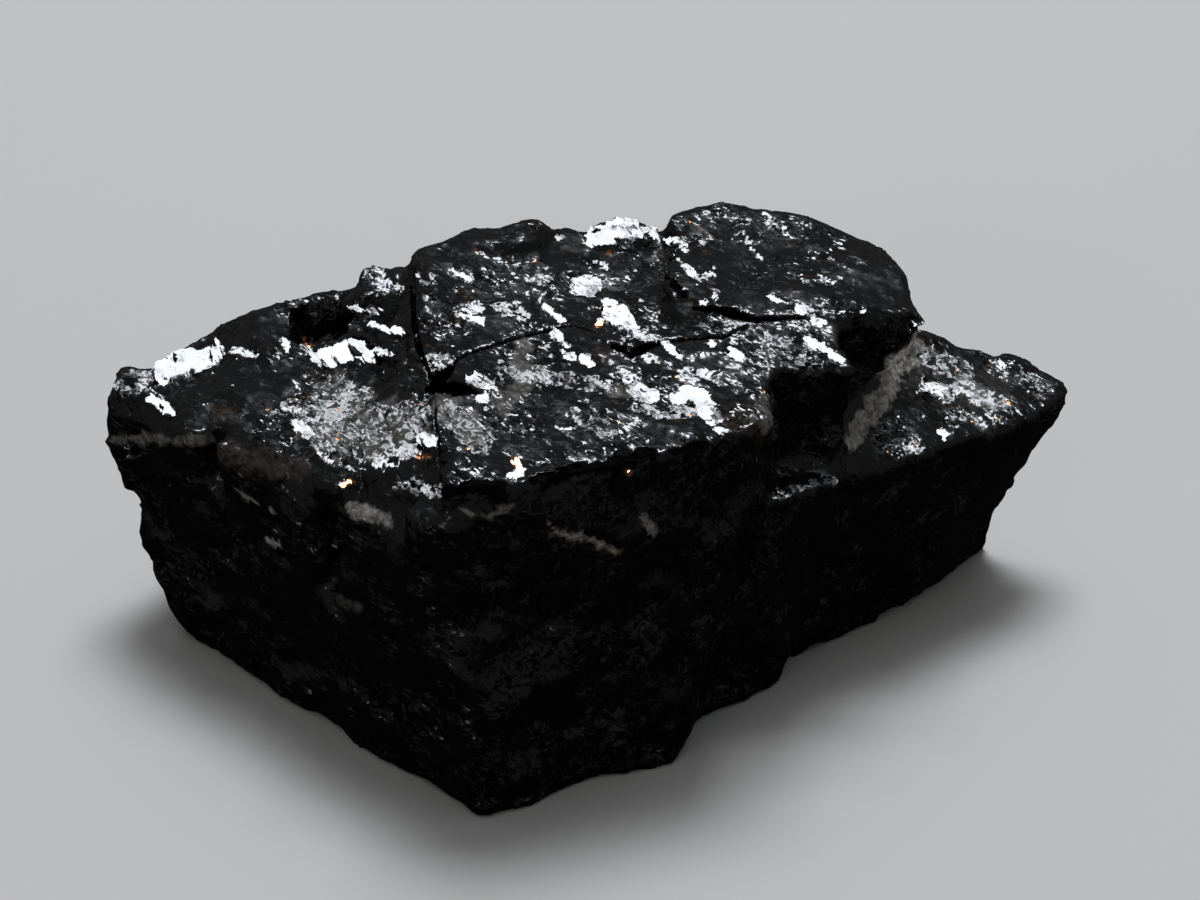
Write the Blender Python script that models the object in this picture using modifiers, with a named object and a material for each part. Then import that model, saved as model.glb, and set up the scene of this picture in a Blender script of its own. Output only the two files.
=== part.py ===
"""A rough lump of elite shungite, a glassy black carbon stone that breaks like anthracite.

The lump is one solid. It is a block bounded by natural joint planes, with pieces broken out of it, and its
broken faces are covered in shallow shell-like scoops and small ledges. It is modelled in millimetres, and
scaled to metres at the end. X runs along the stone, Y runs across it to the back, and Z is up. The stone
rests on its flat underside.
"""
import math

import bmesh
import bpy
import numpy as np
from mathutils import Matrix, Vector
from mathutils.kdtree import KDTree

MM = 0.001

# Driving dimensions of the stone.
BLOCK_REACH = 90.0
GRAIN = 0.34
TRIANGLES = 9400
UNDERSIDE_ALLOWANCE = 0.5
SEED = 11

# A joint face is a heading, a lean and a point on it. The heading is the compass angle of the face's outward
# normal in plan: 0 is +X and 90 is +Y. The lean is how far that normal tips up, so a face that looks straight
# up leans 90, and an overhang leans less than 0.
BLOCK = {
    "left front wall": (229, -1.5, (-14.1, -5.2, 15.0)),
    "front wall near its left corner": (284, 3.6, (-7.0, -10.6, 22.0)),
    "front wall": (294, 0, (9.9, -4.8, 10.0)),
    "right corner, undercut": (317, -17, (23.2, 5.2, 13.2)),
    "right end, undercut": (350, -18, (29.2, 11.4, 12.9)),
    "back right, undercut": (66, -4, (24.7, 13.8, 14.5)),
    "upper back": (96, 6, (0.0, 13.2, 22.5)),
    "lower back, undercut": (94, -7, (0.0, 14.2, 12.0)),
    "back left corner": (126, 8, (-24.4, 9.4, 17.0)),
    "left end": (180, 11, (-27.8, 7.4, 11.0)),
    "left end, undercut": (190, -14, (-27.7, 7.4, 10.5)),
    "left chin": (205, -25, (-24.0, 5.1, 0.0)),
    "top of the slab": (297, 85.4, (10.0, 10.0, 23.8)),
    "underside": (0, -90, (0.0, 0.0, -UNDERSIDE_ALLOWANCE)),
}

# Each broken-out piece is the convex space between its own faces, whose normals point into the stone that is
# left. For a floor, the heading is the way it rises.
BROKEN_OUT = {
    "plateau left of the slab": [
        (0, 0, (4.7, 8.0, 23.0)), (80, -87.4, (0.0, 0.0, 22.1))],
    "plateau in front of the slab": [
        (91, 0, (9.0, 3.6, 23.0)), (80, -87.4, (0.0, 0.0, 22.1)), (50, -77.5, (11.0, 0.0, 21.6)),
        (80, -80.3, (6.0, 0.0, 22.2))],
    "left top": [
        (7, 0, (-8.8, 2.0, 21.0)), (22, -78.5, (-18.0, 4.0, 18.1)), (5, -63.5, (-9.0, 2.0, 21.4))],
    "sheen face before the joint": [
        (7, 0, (-8.8, 2.0, 21.0)), (20, -69.5, (-14.3, -3.7, 18.4))],
    "space right of the front column": [
        (123, 5.5, (16.0, 1.1, 14.5)), (156, 9.7, (9.9, -4.8, 21.0))],
    "deeper undercut further right": [
        (123, 11.5, (16.0, 1.1, 14.5)), (165, 5, (12.2, 1.5, 2.0))],
    "square notch": [
        (180, 0, (10.0, -2.0, 18.0)), (88, 4, (12.0, 0.2, 18.0)), (0, -88, (12.0, 0.0, 15.0))],
    "space before the slab's dark end": [
        (195, 0, (14.2, 2.0, 19.0)), (92, 5, (16.0, 4.1, 20.0)), (150, -40, (17.2, 6.4, 15.6)),
        (150, -74, (14.8, 0.9, 14.9))],
    "space right of the slab": [
        (189, 0, (18.1, 6.0, 23.0)), (150, -40, (17.2, 6.4, 15.6)), (150, -74, (14.8, 0.9, 14.9))],
    "hollow under the slab's end": [
        (170, 36, (16.7, 4.1, 19.0)), (150, -40, (17.2, 6.4, 15.6)), (150, -74, (14.8, 0.9, 14.9))],
    "shoulder behind the slab": [
        (254, 3, (14.0, 12.1, 23.0)), (250, -80, (14.0, 12.0, 21.0))],
    "cut corner of the slab": [
        (212, 3, (17.6, 10.0, 23.0)), (250, -80, (14.0, 12.0, 21.0))],
    "low corner behind the slab": [
        (215, 2, (17.4, 11.5, 18.0)), (250, -78, (19.0, 12.5, 16.3))],
    "overhang notch at the left end": [
        (8, -8, (-26.4, 6.0, 6.0)), (205, 74, (-27.0, 6.5, 8.8))],
    "left groove": [
        (49, 0, (-20.3, 1.9, 15.0)), (139, 0, (-21.4, 1.6, 15.0)), (319, 0, (-20.4, 0.8, 15.0)),
        (49, -60, (-20.7, 1.0, 12.9))],
    "middle groove": [
        (49, -3, (-13.2, -3.9, 13.0)), (139, 5, (-14.6, -4.3, 13.0)), (319, 5, (-13.4, -5.3, 13.0)),
        (49, -60, (-14.0, -4.8, 9.8)), (229, 75, (-14.0, -4.8, 16.8))],
    "brown bevel": [
        (49, -40, (-17.4, -1.8, 16.4)), (139, 0, (-20.1, 0.6, 17.0)), (319, 0, (-14.6, -4.4, 17.0))],
    "grey ledge": [
        (49, -15, (-10.6, -6.4, 18.5)), (49, -60, (-11.3, -7.1, 17.5)), (139, 0, (-12.9, -5.9, 17.5)),
        (319, 0, (-9.6, -8.8, 17.5))],
    "ledge under the front corner": [
        (49, -10, (-8.4, -8.7, 20.0)), (49, -65, (-8.8, -9.2, 19.6)), (139, 0, (-10.8, -6.7, 20.0)),
        (7, 0, (-7.6, -8.0, 20.0))],
    "dark pit": [
        (180, -15, (-16.9, 9.0, 18.0)), (0, -10, (-14.2, 9.0, 18.0)), (270, -40, (-15.3, 8.2, 18.0)),
        (90, -15, (-15.3, 10.6, 17.0)), (90, -80, (-15.3, 9.4, 16.9))],
    "ledge low on the back": [
        (270, -8, (0.0, 13.4, 16.0)), (170, -20, (6.0, 13.0, 12.0)), (95, 70, (0.0, 13.0, 16.4))],
    "chip at the back left": [
        (300, -30, (-19.0, 10.0, 12.0)), (200, -20, (-12.0, 12.0, 12.0)), (95, 60, (-16.0, 12.0, 15.5))],
    "chip low on the right of the back": [
        (250, -22, (21.0, 14.2, 6.0)), (190, 10, (15.0, 14.0, 6.0)), (80, 74, (20.0, 14.5, 9.4))],
    "step in the middle of the back": [
        (281, -6, (-4.0, 12.6, 8.0)), (12, 8, (2.0, 13.0, 8.0)), (172, -14, (-9.5, 13.0, 8.0)),
        (100, 68, (-4.0, 13.5, 13.2))],
    "bevel under the back": [
        (266, 44, (-5.0, 13.4, 1.9)), (355, 0, (12.0, 13.0, 2.0))],
    "chip at the foot of the back left": [
        (325, 28, (-22.4, 9.6, 3.2)), (60, 62, (-22.0, 9.0, 7.8))],
}

# Small blocks left standing on the broken faces.
LEFT_STANDING = {
    "block left of the joint": [
        (0, 0, (-9.6, 10.6, 20.0)), (180, 10, (-13.0, 10.6, 20.6)), (270, 20, (-11.0, 9.2, 20.8)),
        (96, 6, (0.0, 13.2, 22.5)), (255, 78, (-11.0, 10.6, 21.2)), (0, -90, (-11.0, 10.6, 17.0))],
    "plate at the back of the plateau": [
        (350, 10, (-2.5, 12.0, 22.8)), (200, 40, (-9.6, 10.6, 22.0)), (262, 30, (-5.0, 10.2, 22.4)),
        (96, 6, (0.0, 13.2, 22.5)), (200, 84, (-5.5, 12.8, 23.3)), (0, -90, (-5.0, 11.0, 20.0))],
    "bright plate beside it": [
        (0, 20, (3.8, 12.4, 23.0)), (180, 30, (0.6, 12.4, 23.0)), (270, 30, (2.2, 11.0, 22.7)),
        (96, 6, (0.0, 13.2, 22.5)), (280, 76, (2.3, 13.0, 23.8)), (0, -90, (2.0, 12.0, 20.0))],
    "lump on the left end": [
        (185, 35, (-26.8, 6.8, 15.6)), (230, 40, (-26.0, 5.4, 16.1)), (90, 45, (-25.4, 8.0, 16.5)),
        (0, 50, (-24.2, 6.6, 16.4)), (200, 82, (-25.6, 6.6, 16.7)), (0, -90, (-25.4, 6.6, 15.3))],
}

# Shell-like scoops: the size of the scoops, how deep they are, and how far a scoop's floor tilts. Their
# centres are scattered by a share of their size. A surface is a wall while its normal rises less than
# WALL_RISE, and it is fully top once the normal rises TOP_RISE.
SCOOPS = [
    (6.5, 0.30, 0.06),
    (3.2, 0.20, 0.10),
]
SCATTER = 0.45
WALL_RELIEF = 0.8
TOP_RELIEF = 1.0
WALL_RISE = 0.2
TOP_RISE = 0.7


def normal_of(heading, lean):
    """Turn a heading and a lean in degrees into a unit vector."""
    h, l = math.radians(heading), math.radians(lean)
    return Vector((math.cos(h) * math.cos(l), math.sin(h) * math.cos(l), math.sin(l)))


def cut_block(name, faces, collection):
    """Make a cube and trim it at each joint face, which leaves a convex block."""
    bm = bmesh.new()
    bmesh.ops.create_cube(bm, size=BLOCK_REACH)
    for heading, lean, point in faces:
        everything = bm.verts[:] + bm.edges[:] + bm.faces[:]
        bmesh.ops.bisect_plane(bm, geom=everything, plane_co=Vector(point),
                               plane_no=normal_of(heading, lean), clear_outer=True)
        rim = [edge for edge in bm.edges if edge.is_boundary]
        bmesh.ops.holes_fill(bm, edges=rim, sides=0)
    bmesh.ops.recalc_face_normals(bm, faces=bm.faces[:])
    mesh = bpy.data.meshes.new(name)
    bm.to_mesh(mesh)
    bm.free()
    block = bpy.data.objects.new(name, mesh)
    collection.objects.link(block)
    return block


def as_cutter(block):
    """A piece that only shapes the stone is drawn in outline and isn't rendered."""
    block.hide_render = True
    block.display_type = "WIRE"
    return block


def combine(stone, other, operation):
    """Join another block to the stone, or break it out of it."""
    modifier = stone.modifiers.new(other.name, "BOOLEAN")
    modifier.operation = operation
    modifier.solver = "EXACT"
    modifier.object = other


def settle(stone):
    """Make the stone's modifiers part of its mesh."""
    bpy.context.view_layer.update()
    evaluated = stone.evaluated_get(bpy.context.evaluated_depsgraph_get())
    mesh = bpy.data.meshes.new_from_object(evaluated)
    stone.modifiers.clear()
    stone.data = mesh


def even_grain(stone):
    """Rebuild the surface in small even faces, fine enough to carry the scoops."""
    modifier = stone.modifiers.new("grain", "REMESH")
    modifier.mode = "VOXEL"
    modifier.voxel_size = GRAIN
    modifier.adaptivity = 0.0
    settle(stone)


def scoop_centres(rng, low, high, spacing):
    """Scatter one scoop centre in each cell of a grid, well off the cell's middle."""
    steps = [np.arange(a - spacing, b + 2 * spacing, spacing) for a, b in zip(low, high)]
    grid = np.stack(np.meshgrid(*steps, indexing="ij"), axis=-1).reshape(-1, 3)
    return grid + rng.uniform(-SCATTER, SCATTER, grid.shape) * spacing


def scoop_height(points, centres, tilts, size, depth):
    """Height of the broken surface: a bowl around each centre, with a sharp ridge where two bowls meet."""
    tree = KDTree(len(centres))
    for index, centre in enumerate(centres):
        tree.insert(centre, index)
    tree.balance()
    heights = np.empty(len(points))
    for row, point in enumerate(points):
        nearest, index, distance = tree.find(point)
        bowl = depth * ((distance / (0.5 * size)) ** 2 - 1.0)
        heights[row] = bowl + np.dot(point - centres[index], tilts[index])
    return np.clip(heights, -depth, depth)


def relief_share(points, normals):
    """The scoops are bold on the broken top, and shallow on the joint faces at the sides."""
    upward = np.clip((normals[:, 2] - WALL_RISE) / (TOP_RISE - WALL_RISE), 0.0, 1.0)
    return WALL_RELIEF + (TOP_RELIEF - WALL_RELIEF) * upward


def break_surface(stone):
    """Push the surface in and out by the scoops, from the largest to the smallest."""
    rng = np.random.default_rng(SEED)
    mesh = stone.data
    count = len(mesh.vertices)
    points = np.empty(count * 3)
    mesh.vertices.foreach_get("co", points)
    points = points.reshape(-1, 3)
    normals = np.array([vertex.normal for vertex in mesh.vertices])
    share = relief_share(points, normals)
    low, high = points.min(axis=0), points.max(axis=0)
    push = np.zeros(count)
    for size, depth, tilt in SCOOPS:
        centres = scoop_centres(rng, low, high, size)
        tilts = rng.uniform(-tilt, tilt, centres.shape)
        push += scoop_height(points, centres, tilts, size, depth)
    points += normals * (push * share)[:, None]
    mesh.vertices.foreach_set("co", points.ravel())
    mesh.update()


def simplify(stone):
    """Keep the ridges and flats in as few faces as they need."""
    faces = sum(len(polygon.vertices) - 2 for polygon in stone.data.polygons)
    modifier = stone.modifiers.new("fewer faces", "DECIMATE")
    modifier.ratio = TRIANGLES / faces
    modifier.use_collapse_triangulate = True
    settle(stone)


def centre_over_origin(objects, stone):
    """Put the middle of the stone's underside at the origin, in metres, and move its cutters with it."""
    corners = np.array([vertex.co for vertex in stone.data.vertices])
    low, high = corners.min(axis=0), corners.max(axis=0)
    shift = Vector((-(low[0] + high[0]) / 2, -(low[1] + high[1]) / 2, -low[2]))
    for piece in objects:
        piece.data.transform(Matrix.Scale(MM, 4) @ Matrix.Translation(shift))
    print("moved by, mm:", [round(value, 3) for value in shift])


def shungite_material():
    """Glassy near-black carbon with a bright lustre."""
    material = bpy.data.materials.new("elite_shungite")
    material.use_nodes = True
    shader = material.node_tree.nodes["Principled BSDF"]
    shader.inputs["Base Color"].default_value = (0.012, 0.012, 0.014, 1.0)
    shader.inputs["Roughness"].default_value = 0.25
    shader.inputs["Metallic"].default_value = 0.0
    return material


def build_stone():
    """Build the whole stone."""
    stone_collection = bpy.data.collections.new("shungite")
    cutter_collection = bpy.data.collections.new("broken_away")
    bpy.context.scene.collection.children.link(stone_collection)
    bpy.context.scene.collection.children.link(cutter_collection)
    stone = cut_block("shungite", BLOCK.values(), stone_collection)
    cutters = []
    for name, faces in BROKEN_OUT.items():
        cutters.append(as_cutter(cut_block(name, faces, cutter_collection)))
        combine(stone, cutters[-1], "DIFFERENCE")
    for name, faces in LEFT_STANDING.items():
        cutters.append(as_cutter(cut_block(name, faces, cutter_collection)))
        combine(stone, cutters[-1], "UNION")
    settle(stone)
    even_grain(stone)
    break_surface(stone)
    even_grain(stone)
    simplify(stone)
    table = cut_block("table", [(0, 90, (0.0, 0.0, 0.0))], cutter_collection)
    cutters.append(as_cutter(table))
    combine(stone, table, "DIFFERENCE")
    settle(stone)
    centre_over_origin([stone] + cutters, stone)
    stone.data.materials.clear()
    stone.data.materials.append(shungite_material())
    return stone


for leftover in list(bpy.data.objects):
    bpy.data.objects.remove(leftover, do_unlink=True)
shungite = build_stone()
print("triangles:", sum(len(polygon.vertices) - 2 for polygon in shungite.data.polygons))
print("size, mm:", [round(side / MM, 2) for side in shungite.dimensions])
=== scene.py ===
# %% [markdown]
# # A rough lump of elite shungite
# Elite shungite is a natural glassy carbon, black and as bright as fresh coal. The real lump was knocked out
# of a thin vein, so it has flat joint faces at its sides and a broken top of small shell-like flakes.
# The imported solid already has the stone's size, walls, steps and notches. This lesson gives it the fine
# fracture that catches the light, the black glass it is made of, and the lamp that shows it.

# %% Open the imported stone
import math

import bmesh
import bpy
import numpy as np
from mathutils import Matrix, Vector, noise
from mathutils.bvhtree import BVHTree


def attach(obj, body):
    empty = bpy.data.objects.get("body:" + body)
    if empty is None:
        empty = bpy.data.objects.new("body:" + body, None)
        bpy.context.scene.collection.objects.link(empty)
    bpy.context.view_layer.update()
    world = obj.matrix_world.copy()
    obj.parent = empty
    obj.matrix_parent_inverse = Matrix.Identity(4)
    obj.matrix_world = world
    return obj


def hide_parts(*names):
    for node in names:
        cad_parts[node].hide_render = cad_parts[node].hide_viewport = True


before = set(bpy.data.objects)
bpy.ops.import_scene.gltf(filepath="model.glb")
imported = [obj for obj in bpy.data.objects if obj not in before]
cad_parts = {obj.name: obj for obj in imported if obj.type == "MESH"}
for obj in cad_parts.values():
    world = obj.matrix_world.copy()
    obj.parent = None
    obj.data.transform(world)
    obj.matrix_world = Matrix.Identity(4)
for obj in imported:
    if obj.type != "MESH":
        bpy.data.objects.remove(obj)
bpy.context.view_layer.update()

MM = 0.001

# %% [markdown]
# ## The camera
# The photograph looks down on the front of the stone by 36 degrees, through a long lens. The camera comes
# first, because the flakes that flash in the photograph are found with it: a place in the picture can only
# be tied to the stone once the camera stands where the picture was taken from.

# %% Stand the camera in front of the stone
PICTURE = (1200, 900)
LENS = 90.0
SENSOR = 36.0
LOOK_DOWN = math.radians(36.0)
EYE = np.array([0.36, -136.2, 114.4])
NEAREST_SEEN = 10.0

camera = bpy.data.objects.new("camera", bpy.data.cameras.new("camera"))
camera.data.lens = LENS
camera.data.sensor_width = SENSOR
camera.data.clip_start = NEAREST_SEEN * MM
camera.location = Vector(EYE) * MM
camera.rotation_euler = (math.radians(90.0) - LOOK_DOWN, 0.0, 0.0)
bpy.context.scene.collection.objects.link(camera)
bpy.context.scene.camera = camera
print("camera at, mm:", EYE.tolist())

# %% Say where a point of the stone is seen
FOCAL = LENS / SENSOR * PICTURE[0]
RIGHT = np.array([1.0, 0.0, 0.0])
FORWARD = np.array([0.0, math.cos(LOOK_DOWN), -math.sin(LOOK_DOWN)])
UP = np.array([0.0, math.sin(LOOK_DOWN), math.cos(LOOK_DOWN)])


def seen(points):
    """Give the pixel of each point in the photograph's 1200 x 900 frame, and its depth in mm."""
    away = points - EYE
    depth = away @ FORWARD
    across = PICTURE[0] / 2 + FOCAL * (away @ RIGHT) / depth
    down = PICTURE[1] / 2 - FOCAL * (away @ UP) / depth
    return np.stack([across, down], axis=1), depth


print("the origin is seen at pixel", seen(np.zeros((1, 3)))[0].round(0).tolist())

# %% [markdown]
# ## The main lamp
# The photograph is lit by a broad light behind and high above the stone. It throws the shadow towards the
# camera, keeps the front walls black, and flashes in each flake that is tilted halfway between lamp and eye.
# One softbox does that. Its place is settled before the fracture, because the flakes that flash are cut to
# that tilt.

# %% Settle where the softbox hangs
SOFTBOX_AWAY = 700.0
SOFTBOX_RISE = math.radians(73.0)
SOFTBOX_LEFT = math.radians(-6.0)
SOFTBOX_SIZE = (260.0, 190.0)
STONE_MIDDLE = np.array([0.0, 0.0, 15.0])
SOFTBOX = STONE_MIDDLE + SOFTBOX_AWAY * np.array([
    -math.sin(SOFTBOX_LEFT) * math.cos(SOFTBOX_RISE),
    math.cos(SOFTBOX_LEFT) * math.cos(SOFTBOX_RISE),
    math.sin(SOFTBOX_RISE)])


def unit(vectors):
    """Scale each vector to length 1."""
    return vectors / np.linalg.norm(vectors, axis=-1, keepdims=True)


def flashing_tilt(points):
    """The normal that sends the softbox's light from each point to the eye."""
    return unit(unit(EYE - points) + unit(SOFTBOX - points))


print("a flake that flashes faces", flashing_tilt(STONE_MIDDLE[None])[0].round(2).tolist())

# %% [markdown]
# ## A finer copy of the solid
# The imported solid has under 10,000 triangles, too few for flakes of a millimetre. A voxel remesh gives even
# faces all round, and the broken top is cut twice as fine. The remesh rounds every edge, so a shrinkwrap
# draws the copy back onto the solid, and a light smoothing takes the edge off the solid's own triangles.
# Subdividing it all would pass 200,000 triangles with nothing gained, and a displaced material alone would
# leave the real surface smooth.

# %% Remesh a copy of the stone
COARSE = 0.38


def settle(piece):
    """Make the piece's modifiers part of its mesh."""
    bpy.context.view_layer.update()
    evaluated = piece.evaluated_get(bpy.context.evaluated_depsgraph_get())
    mesh = bpy.data.meshes.new_from_object(evaluated)
    piece.modifiers.clear()
    piece.data = mesh


solid_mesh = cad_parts["shungite"].data.copy()
solid_mesh.transform(Matrix.Scale(1 / MM, 4))
stone = bpy.data.objects.new("broken_stone", solid_mesh)
bpy.context.scene.collection.objects.link(stone)
remesh = stone.modifiers.new("even faces", "REMESH")
remesh.mode = "VOXEL"
remesh.voxel_size = COARSE
settle(stone)
print("even faces:", len(stone.data.polygons))

# %% Read and write the mesh as arrays
def read(items, what):
    """Read a list of vectors off vertices or faces."""
    values = np.empty(len(items) * 3)
    items.foreach_get(what, values)
    return values.reshape(-1, 3)


def write(mesh, points):
    """Put the vertices at these points."""
    mesh.vertices.foreach_set("co", points.ravel())
    mesh.update()


def facing_eye(points, normals):
    """How squarely each place faces the camera: 1 is full on, and below 0 is turned away."""
    return np.einsum("ij,ij->i", unit(EYE - points), normals)


print("first vertex, mm:", read(stone.data.vertices, "co")[0].round(1).tolist())

# %% Cut the broken top finer
TURNED_UP = 0.25


def cut_finer(mesh, wanted):
    """Cut each wanted face into four."""
    bm = bmesh.new()
    bm.from_mesh(mesh)
    edges = [edge for edge in bm.edges if any(wanted[face.index] for face in edge.link_faces)]
    bmesh.ops.subdivide_edges(bm, edges=edges, cuts=1, use_grid_fill=True)
    bm.to_mesh(mesh)
    bm.free()


faces = stone.data.polygons
cut_finer(stone.data, read(faces, "normal")[:, 2] > TURNED_UP)
print("faces with the broken top finer:", len(stone.data.polygons))

# %% Draw the copy back onto the solid
SOFTENING = 0.35
guide = bpy.data.objects.new("solid_guide", solid_mesh)
bpy.context.scene.collection.objects.link(guide)
hug = stone.modifiers.new("hug the solid", "SHRINKWRAP")
hug.target = guide
soften = stone.modifiers.new("soften", "SMOOTH")
soften.factor = SOFTENING
soften.iterations = 1
settle(stone)
bpy.data.objects.remove(guide)
print("edges are as sharp as the solid's again")

# %% [markdown]
# ## Where the flakes flash
# Most of the top is dark, and its look comes from the few flakes that mirror the lamp: two white patches on
# the left, the small squares in the middle, the thin curl on the slab, the glitter on the low right end.
# Scattering them at random would give the right stone but not this one. So each is named here, with the line
# it follows in the photograph, in pixels, its half width in real millimetres, and its unrest: 0 is one clean
# mirror, and more is a broken, mottled sheen.

# %% Name the flashes of the left part
LEFT_FLASHES = {
    "long white patch": ([(166, 373), (190, 363), (214, 355)], 0.72, 0.8),
    "white patch beside the pit": ([(330, 358), (350, 350), (374, 353)], 0.68, 0.9),
    "its pointed end": ([(374, 353), (388, 353)], 0.28, 1.0),
    "rim of the pit": ([(302, 345), (322, 364)], 0.2, 2.0),
    "streak behind the pit": ([(370, 325), (403, 333)], 0.22, 1.0),
    "back of the bump": ([(374, 275), (384, 284)], 0.6, 4.0),
    "front of the bump": ([(380, 290), (398, 289)], 0.35, 3.0),
    "glint under the bump": ([(352, 309), (380, 311)], 0.22, 2.0),
    "oval at the left end": ([(151, 401), (162, 404), (172, 413)], 0.32, 0.8),
    "mottled nose": ([(122, 387), (142, 380)], 0.7, 6.0),
    "round glint on the wall": ([(131, 449), (136, 454)], 0.35, 1.5),
    "short streak": ([(236, 353), (256, 352)], 0.25, 2.0),
    "small streak above it": ([(283, 341), (287, 348)], 0.2, 1.0),
    "sheen, lower edge": ([(322, 452), (350, 466), (392, 462)], 0.4, 3.0),
    "sheen, upper": ([(330, 388), (352, 402)], 1.2, 6.0),
    "sheen, middle": ([(322, 422), (360, 425), (405, 428)], 1.5, 6.0),
    "sheen, lower": ([(335, 450), (405, 445)], 1.0, 5.0),
    "sheen, crest": ([(352, 388), (366, 398)], 0.3, 4.0),
    "sheen, wave": ([(356, 420), (372, 428)], 0.25, 3.0),
    "sheen, second wave": ([(386, 428), (400, 432)], 0.25, 3.0),
    "sheen, bright core": ([(300, 427), (310, 432)], 0.5, 1.0),
    "sheen, left tail": ([(270, 412), (300, 400)], 0.35, 7.0),
    "glint by the sheen": ([(284, 409), (300, 407)], 0.25, 2.0),
    "square at the joint": ([(421, 439), (434, 441)], 0.42, 0.6),
    "patch left of the joint": ([(415, 398), (425, 410)], 0.4, 5.0),
    "facets under the joint": ([(400, 486), (438, 490)], 0.45, 9.0),
}
print("named on the left:", len(LEFT_FLASHES))

# %% Name the flashes of the middle
MIDDLE_FLASHES = {
    "white plate on the skyline": ([(594, 238), (620, 229), (648, 230)], 0.55, 0.8),
    "dot beside it": ([(556, 238), (559, 239)], 0.16, 1.0),
    "ragged square": ([(577, 287), (593, 286)], 0.6, 1.2),
    "ragged lozenge": ([(612, 310), (626, 325)], 0.7, 1.2),
    "tail of the lozenge": ([(636, 334), (656, 338)], 0.3, 3.0),
    "patch at the joint": ([(432, 364), (443, 362)], 0.65, 4.0),
    "patch below the crack": ([(474, 380), (488, 384)], 0.42, 1.5),
    "dot below it": ([(479, 397), (484, 399)], 0.3, 0.5),
    "upper left glint": ([(420, 276), (428, 279)], 0.45, 5.0),
    "upper left streak": ([(452, 270), (470, 280)], 0.15, 0.8),
    "streaky patch": ([(460, 310), (480, 306)], 0.4, 4.0),
    "streak below it": ([(460, 314), (484, 322)], 0.15, 1.0),
    "broken patch": ([(500, 308), (522, 312)], 0.5, 5.0),
    "long glint": ([(545, 306), (562, 321)], 0.2, 0.8),
    "glint across the crack": ([(553, 333), (567, 344)], 0.28, 0.8),
    "glint right of it": ([(564, 353), (574, 358)], 0.2, 1.5),
    "small square": ([(583, 359), (589, 361)], 0.35, 1.0),
    "pale patch": ([(536, 281), (550, 280)], 0.4, 5.0),
    "row of specks": ([(585, 264), (605, 266)], 0.25, 4.0),
    "mottled strip": ([(500, 368), (560, 380), (600, 384)], 0.5, 7.0),
    "small triangle": ([(622, 373), (635, 380)], 0.35, 2.0),
    "bright oblong": ([(636, 389), (652, 396)], 0.48, 0.7),
    "head of the big patch": ([(686, 374), (700, 372)], 0.6, 4.0),
    "middle of the big patch": ([(677, 398), (688, 392), (701, 396)], 0.42, 0.7),
    "foot of the big patch": ([(702, 402), (713, 417)], 0.5, 1.8),
    "mottled strip before it": ([(632, 407), (690, 412)], 0.4, 6.0),
    "streak at its foot": ([(716, 429), (728, 432)], 0.18, 1.0),
    "glint after the gap": ([(646, 357), (654, 360)], 0.4, 3.0),
    "slanted glint": ([(666, 346), (680, 356)], 0.22, 1.0),
    "dot right of it": ([(710, 342), (712, 343)], 0.22, 0.0),
    "flag": ([(731, 353), (739, 356)], 0.28, 0.5),
    "patch under the slab": ([(735, 338), (755, 334)], 0.45, 4.0),
    "round dot": ([(809, 341), (813, 343)], 0.35, 0.5),
    "streak at the notch": ([(824, 347), (840, 360)], 0.25, 1.5),
    "edge glint": ([(813, 319), (825, 325)], 0.2, 2.0),
    "mottled corner": ([(775, 345), (810, 365)], 0.8, 7.0),
    "front edge glint": ([(511, 475), (521, 470)], 0.24, 0.8),
    "front streak": ([(556, 427), (570, 428)], 0.13, 0.5),
    "front mottle": ([(580, 412), (606, 432)], 0.6, 7.0),
    "left front mottle": ([(450, 415), (480, 440)], 0.9, 8.0),
}
print("named in the middle:", len(MIDDLE_FLASHES))

# %% Name the flashes of the slab and of the low right end
RIGHT_FLASHES = {
    "curl, upper end": ([(686, 249), (678, 240), (670, 240)], 0.24, 0.8),
    "curl, side": ([(670, 240), (673, 252), (686, 268)], 0.1, 1.5),
    "curl, foot": ([(686, 268), (698, 278), (713, 276)], 0.14, 1.0),
    "curl, tip": ([(713, 276), (714, 264)], 0.09, 1.0),
    "chain on the slab": ([(742, 230), (749, 243), (761, 261)], 0.12, 3.0),
    "back edge of the slab": ([(763, 208), (771, 224), (785, 228)], 0.16, 2.0),
    "left corner of the slab": ([(682, 202), (692, 200)], 0.3, 5.0),
    "wave on the slab": ([(798, 268), (806, 283), (835, 281)], 0.13, 3.0),
    "second wave on the slab": ([(812, 272), (826, 277)], 0.1, 3.0),
    "two specks": ([(818, 254), (834, 259)], 0.2, 4.0),
    "streak on the slab": ([(768, 297), (788, 303)], 0.15, 1.0),
    "corner glint of the slab": ([(797, 309), (802, 311)], 0.25, 1.0),
    "streak at the slab's foot": ([(700, 303), (716, 297)], 0.16, 1.5),
    "rim of the slab": ([(840, 312), (868, 311)], 0.1, 1.0),
    "back corner of the low end": ([(913, 326), (928, 325)], 0.4, 2.0),
    "upper glitter": ([(930, 357), (965, 372)], 0.7, 7.0),
    "bright heart": ([(926, 386), (948, 395)], 0.5, 2.0),
    "second heart": ([(955, 390), (968, 388)], 0.5, 3.5),
    "glitter right of it": ([(980, 398), (1005, 404)], 0.5, 6.0),
    "long streaks": ([(948, 414), (998, 421)], 0.4, 4.0),
    "front patch": ([(872, 434), (884, 446), (915, 446)], 0.5, 3.0),
    "front glint": ([(940, 431), (944, 437)], 0.22, 0.5),
    "swirl at the tip": ([(1025, 378), (1040, 390)], 0.6, 8.0),
    "speck near the tip": ([(996, 363), (1003, 366)], 0.25, 2.0),
    "front lip glitter": ([(778, 495), (800, 488), (834, 479)], 0.3, 3.5),
    "speck at the lip's end": ([(773, 498), (776, 498)], 0.14, 1.0),
}
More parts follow.
